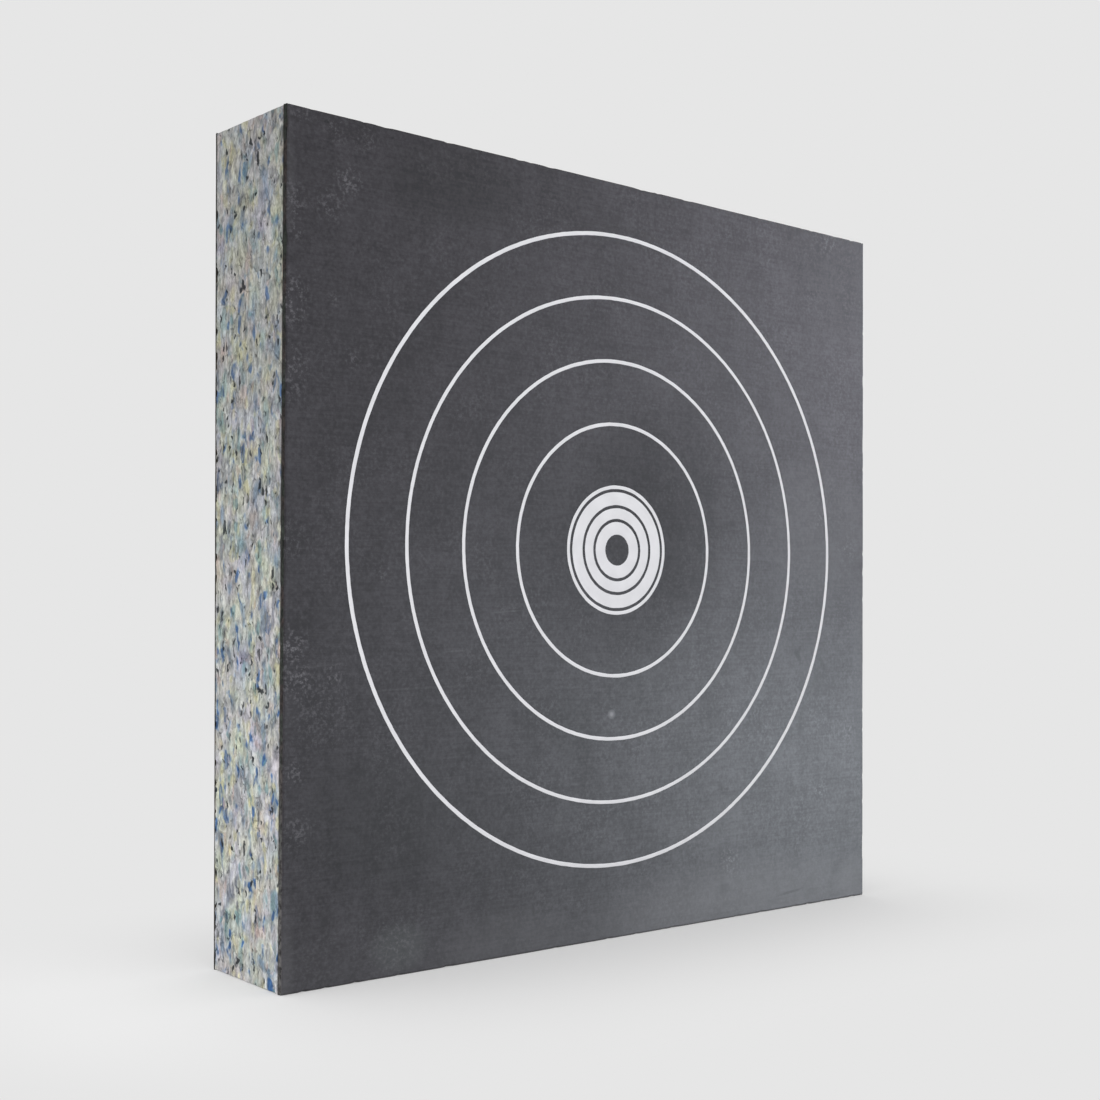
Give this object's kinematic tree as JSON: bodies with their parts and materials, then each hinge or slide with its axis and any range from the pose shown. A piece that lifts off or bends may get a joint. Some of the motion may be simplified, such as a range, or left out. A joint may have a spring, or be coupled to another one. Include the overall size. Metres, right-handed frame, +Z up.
{
  "type": "archery backstop mat",
  "caption": "Free-standing square target slab for archery: a block of bonded foam flakes between dark sheets, with a white target of circles printed on its face.",
  "frame": {"origin": "On the flat bottom cut, straight below the target's centre, halfway through the thickness.", "axes": "+Z up, the printed face looks along -Y, +X to the right of someone facing the target."},
  "size_m": [0.602, 0.1003, 0.606],
  "materials": {
    "bonded_foam": "matte",
    "dark_sheet": "matte",
    "dried_glue": "satin",
    "white_ink": "matte"
  },
  "bodies": {
    "root": {"foam_core": "bonded_foam", "front_sheet": "dark_sheet", "back_sheet": "dark_sheet", "front_glue_film": "dried_glue", "back_glue_film": "dried_glue", "inner_target_circle": "white_ink", "second_target_circle": "white_ink", "third_target_circle": "white_ink", "outer_target_circle": "white_ink", "bull_inner_band": "white_ink", "bull_middle_band": "white_ink", "bull_outer_band": "white_ink", "bull_outline_circle": "white_ink"}
  },
  "joints": []
}
